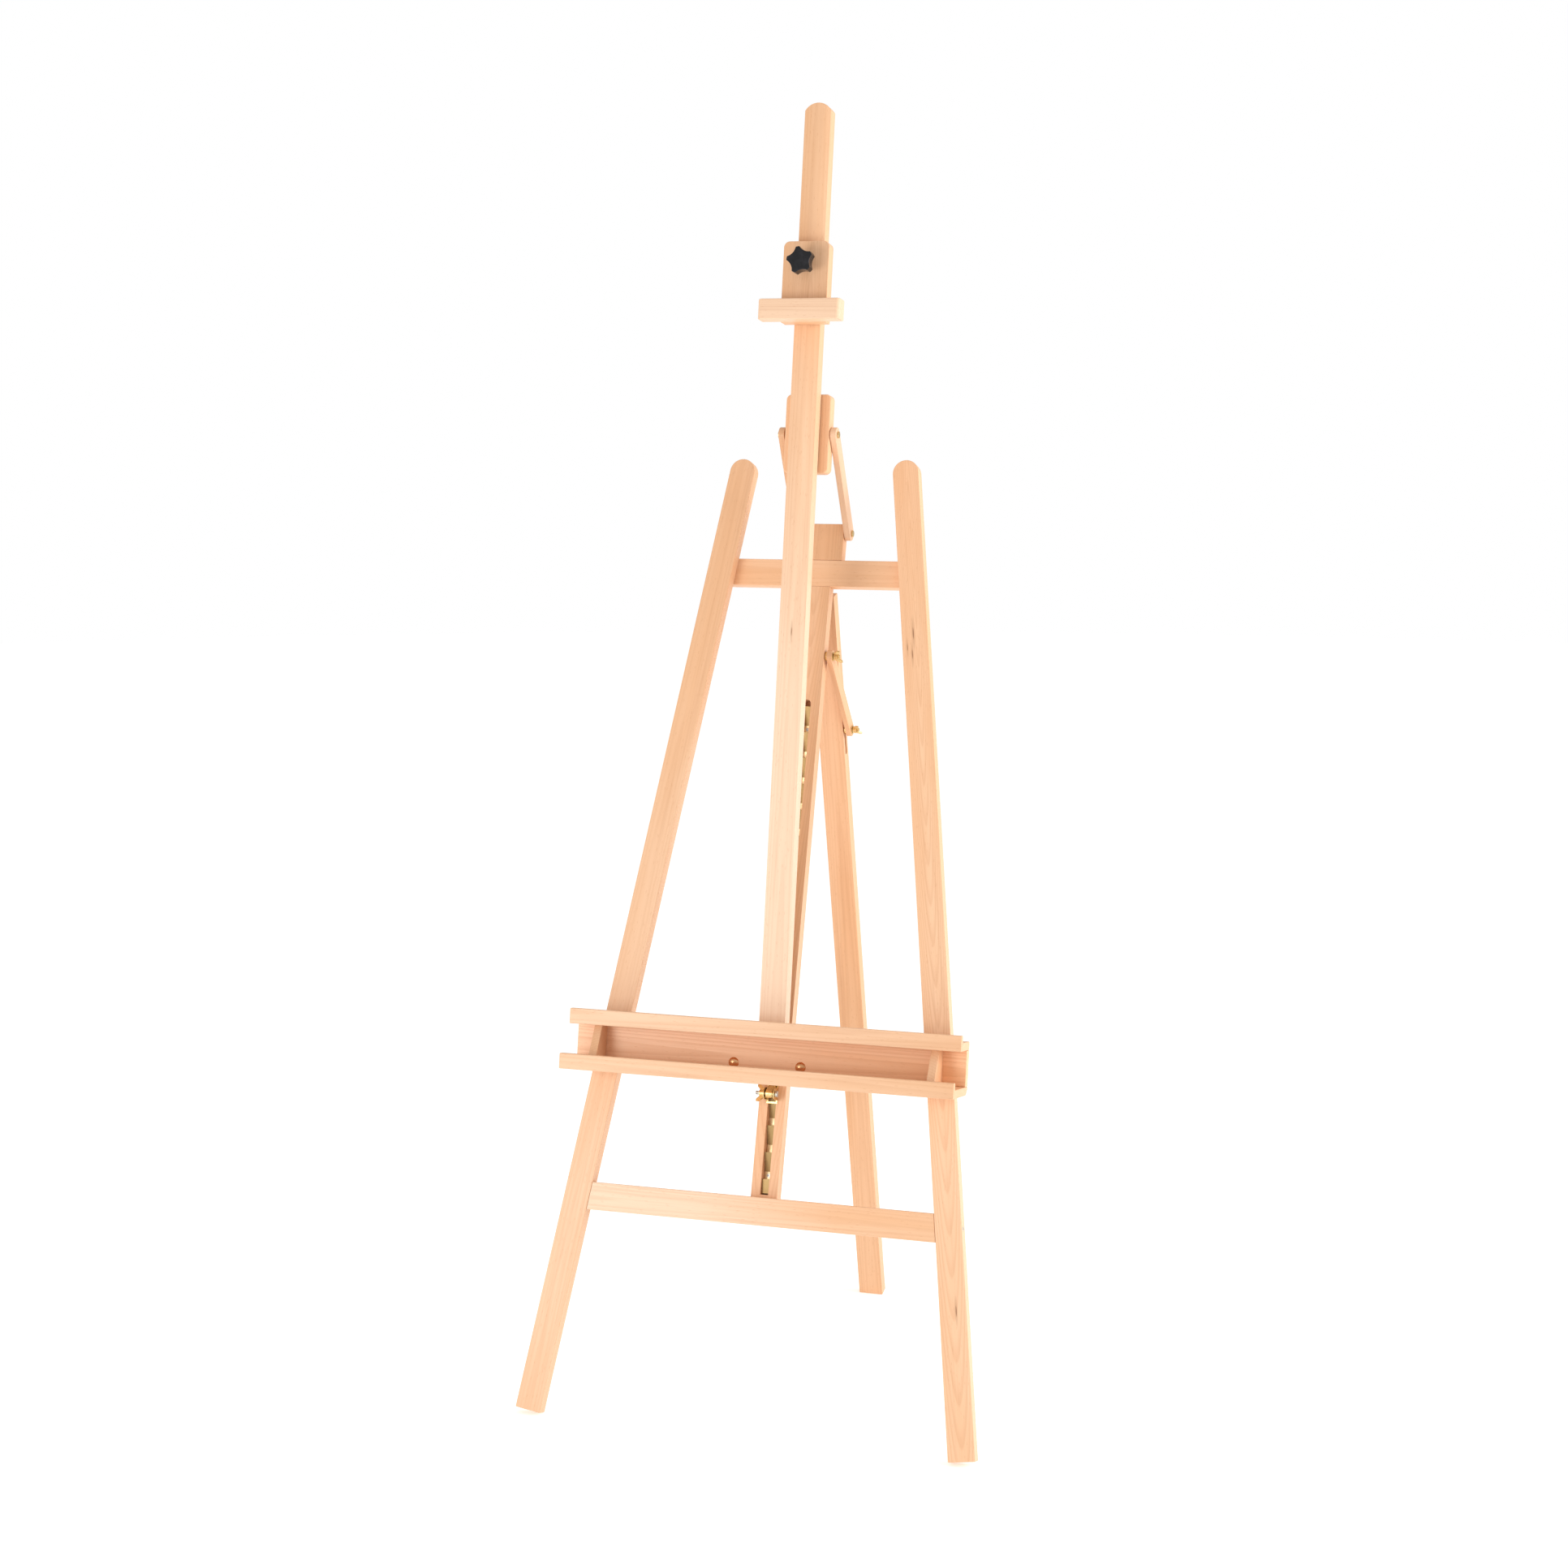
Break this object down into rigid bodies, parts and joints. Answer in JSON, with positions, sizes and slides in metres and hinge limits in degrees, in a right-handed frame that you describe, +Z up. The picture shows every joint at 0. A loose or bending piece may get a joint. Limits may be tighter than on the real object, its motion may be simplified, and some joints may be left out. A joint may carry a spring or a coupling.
{
  "type": "artist easel",
  "caption": "Folding wooden easel: A-shaped front frame on a rear leg, tilting mast with a lipped tray, toothed height adjustment and a sliding top clip.",
  "frame": {"origin": "on the floor, in the middle of the whole easel's footprint", "axes": "+Z up, -Y towards the painter, X along the tray with +X on the painter's right"},
  "size_m": [0.7026, 0.7134, 1.9303],
  "materials": {
    "beech": "clear satin lacquer on pale pinkish beech",
    "beech_rear": "clear satin lacquer on a slightly warmer beech board",
    "brass_plate": "thin yellow plating, a little dull",
    "zinc_steel": "bright zinc plating",
    "black_plastic": "glossy black"
  },
  "bodies": {
    "frame": {"left_front_leg": "beech", "right_front_leg": "beech", "lower_crossbar": "beech", "upper_crossbar": "beech", "ratchet_column": "beech", "ratchet_strip": "brass_plate", "ratchet_screws": "zinc_steel", "head_block": "beech", "post_dowels": "beech", "lower_bar_screws": "zinc_steel", "upper_bar_screws": "zinc_steel", "column_screws": "zinc_steel", "hinge_frame_leaf": "zinc_steel", "hinge_pin": "zinc_steel", "hinge_screws_frame": "zinc_steel", "strut_top_bolt": "brass_plate"},
    "rear_leg": {"rear_leg": "beech_rear", "hinge_leg_leaf": "zinc_steel", "hinge_screws_leg": "zinc_steel"},
    "strut": {"spread_strut": "beech", "strut_slot_bolt": "brass_plate", "strut_washers": "brass_plate"},
    "strut_top_nut": {"strut_top_wing_nut": "brass_plate"},
    "strut_slot_nut": {"strut_slot_wing_nut": "brass_plate"},
    "carriage": {"carriage_strap": "brass_plate", "pawl_hanger": "brass_plate", "pawl_bolt": "zinc_steel", "mast_pivot_pin": "zinc_steel"},
    "pawl": {"ratchet_pawl": "brass_plate"},
    "pawl_nut": {"pawl_wing_nut": "brass_plate"},
    "mast": {"mast": "beech", "mast_screws": "zinc_steel", "tray_web": "beech", "tray_top_shelf": "beech", "tray_bottom_shelf": "beech", "tray_top_lip": "beech", "tray_bottom_lip": "beech", "tray_left_divider": "beech", "tray_right_divider": "beech", "tray_left_cheek": "beech", "tray_right_cheek": "beech", "tray_carriage_bolts": "brass_plate", "tray_bolt_nuts": "zinc_steel"},
    "clip": {"clip_plate": "beech", "clip_bar": "beech", "clip_strap": "brass_plate", "clip_bar_screws": "zinc_steel", "clip_insert": "brass_plate"},
    "clip_knob": {"clip_knob": "black_plastic", "clip_knob_screw": "zinc_steel"},
    "head_shaft": {"head_shaft": "brass_plate"},
    "tilt_arms": {"left_tilt_arm": "beech", "right_tilt_arm": "beech"},
    "block_shaft": {"block_shaft": "brass_plate"},
    "tilt_block": {"tilt_block": "beech", "tilt_t_bolt": "zinc_steel"},
    "tilt_knob": {"tilt_knob": "black_plastic"}
  },
  "joints": [
    {"name": "rear_leg_fold", "type": "hinge", "parent": "frame", "child": "rear_leg", "pos_m": [0, 0.04329, 1.20109], "axis": [-1, 0, 0], "range_deg": [0, 30.3]},
    {"name": "strut_swing", "type": "hinge", "parent": "frame", "child": "strut", "pos_m": [0, 0.00146, 1.10918], "axis": [-1, 0, 0], "range_deg": [0, 48.5]},
    {"name": "strut_top_nut_turn", "type": "hinge", "parent": "frame", "child": "strut_top_nut", "pos_m": [0.038, 0.00146, 1.10918], "axis": [1, 0, 0], "continuous": true},
    {"name": "strut_slot_nut_turn", "type": "hinge", "parent": "strut", "child": "strut_slot_nut", "pos_m": [0.038, 0.10534, 0.98619], "axis": [1, 0, 0], "continuous": true},
    {"name": "tray_height", "type": "slide", "parent": "frame", "child": "carriage", "axis": [0, 0.284, 0.9588], "range_m": [-0.06, 0.197]},
    {"name": "pawl_engage", "type": "hinge", "parent": "carriage", "child": "pawl", "pos_m": [0, -0.20985, 0.4803], "axis": [-1, 0, 0], "range_deg": [0, 56]},
    {"name": "pawl_nut_turn", "type": "hinge", "parent": "carriage", "child": "pawl_nut", "pos_m": [-0.014, -0.20985, 0.4803], "axis": [1, 0, 0], "continuous": true},
    {"name": "mast_tilt", "type": "hinge", "parent": "carriage", "child": "mast", "pos_m": [0, -0.19673, 0.53691], "axis": [1, 0, 0], "range_deg": [-2.5, 0.8]},
    {"name": "clip_height", "type": "slide", "parent": "mast", "child": "clip", "axis": [0, 0.165, 0.9863], "range_m": [-0.05, 0.19]},
    {"name": "clip_knob_turn", "type": "hinge", "parent": "clip", "child": "clip_knob", "pos_m": [0, -0.05377, 1.69418], "axis": [0, -0.9863, 0.165], "continuous": true},
    {"name": "head_shaft_turn", "type": "hinge", "parent": "frame", "child": "head_shaft", "pos_m": [0, 0.05571, 1.29232], "axis": [1, 0, 0], "range_deg": [-10.3, 3.3]},
    {"name": "arm_swing", "type": "hinge", "parent": "head_shaft", "child": "tilt_arms", "pos_m": [0, 0.05571, 1.29232], "axis": [1, 0, 0], "range_deg": [-16.5, 5.4]},
    {"name": "block_shaft_turn", "type": "hinge", "parent": "tilt_arms", "child": "block_shaft", "pos_m": [0, -0.0199, 1.44214], "axis": [1, 0, 0], "range_deg": [-3.3, 10.3]},
    {"name": "block_turn", "type": "hinge", "parent": "block_shaft", "child": "tilt_block", "pos_m": [0, -0.0199, 1.44214], "axis": [1, 0, 0], "range_deg": [-4.6, 14]},
    {"name": "tilt_knob_turn", "type": "hinge", "parent": "tilt_block", "child": "tilt_knob", "pos_m": [0, -0.00053, 1.40645], "axis": [0, 0.9863, -0.165], "continuous": true}
  ],
  "couplings": [
    {"joint": "strut_swing", "follows": "rear_leg_fold", "ratio": 1.593},
    {"joint": "head_shaft_turn", "follows": "tray_height", "rad_per_m": -0.8831},
    {"joint": "block_shaft_turn", "follows": "tray_height", "rad_per_m": 0.8831},
    {"joint": "arm_swing", "follows": "mast_tilt", "ratio": 6.55},
    {"joint": "block_turn", "follows": "mast_tilt", "ratio": -5.55}
  ]
}
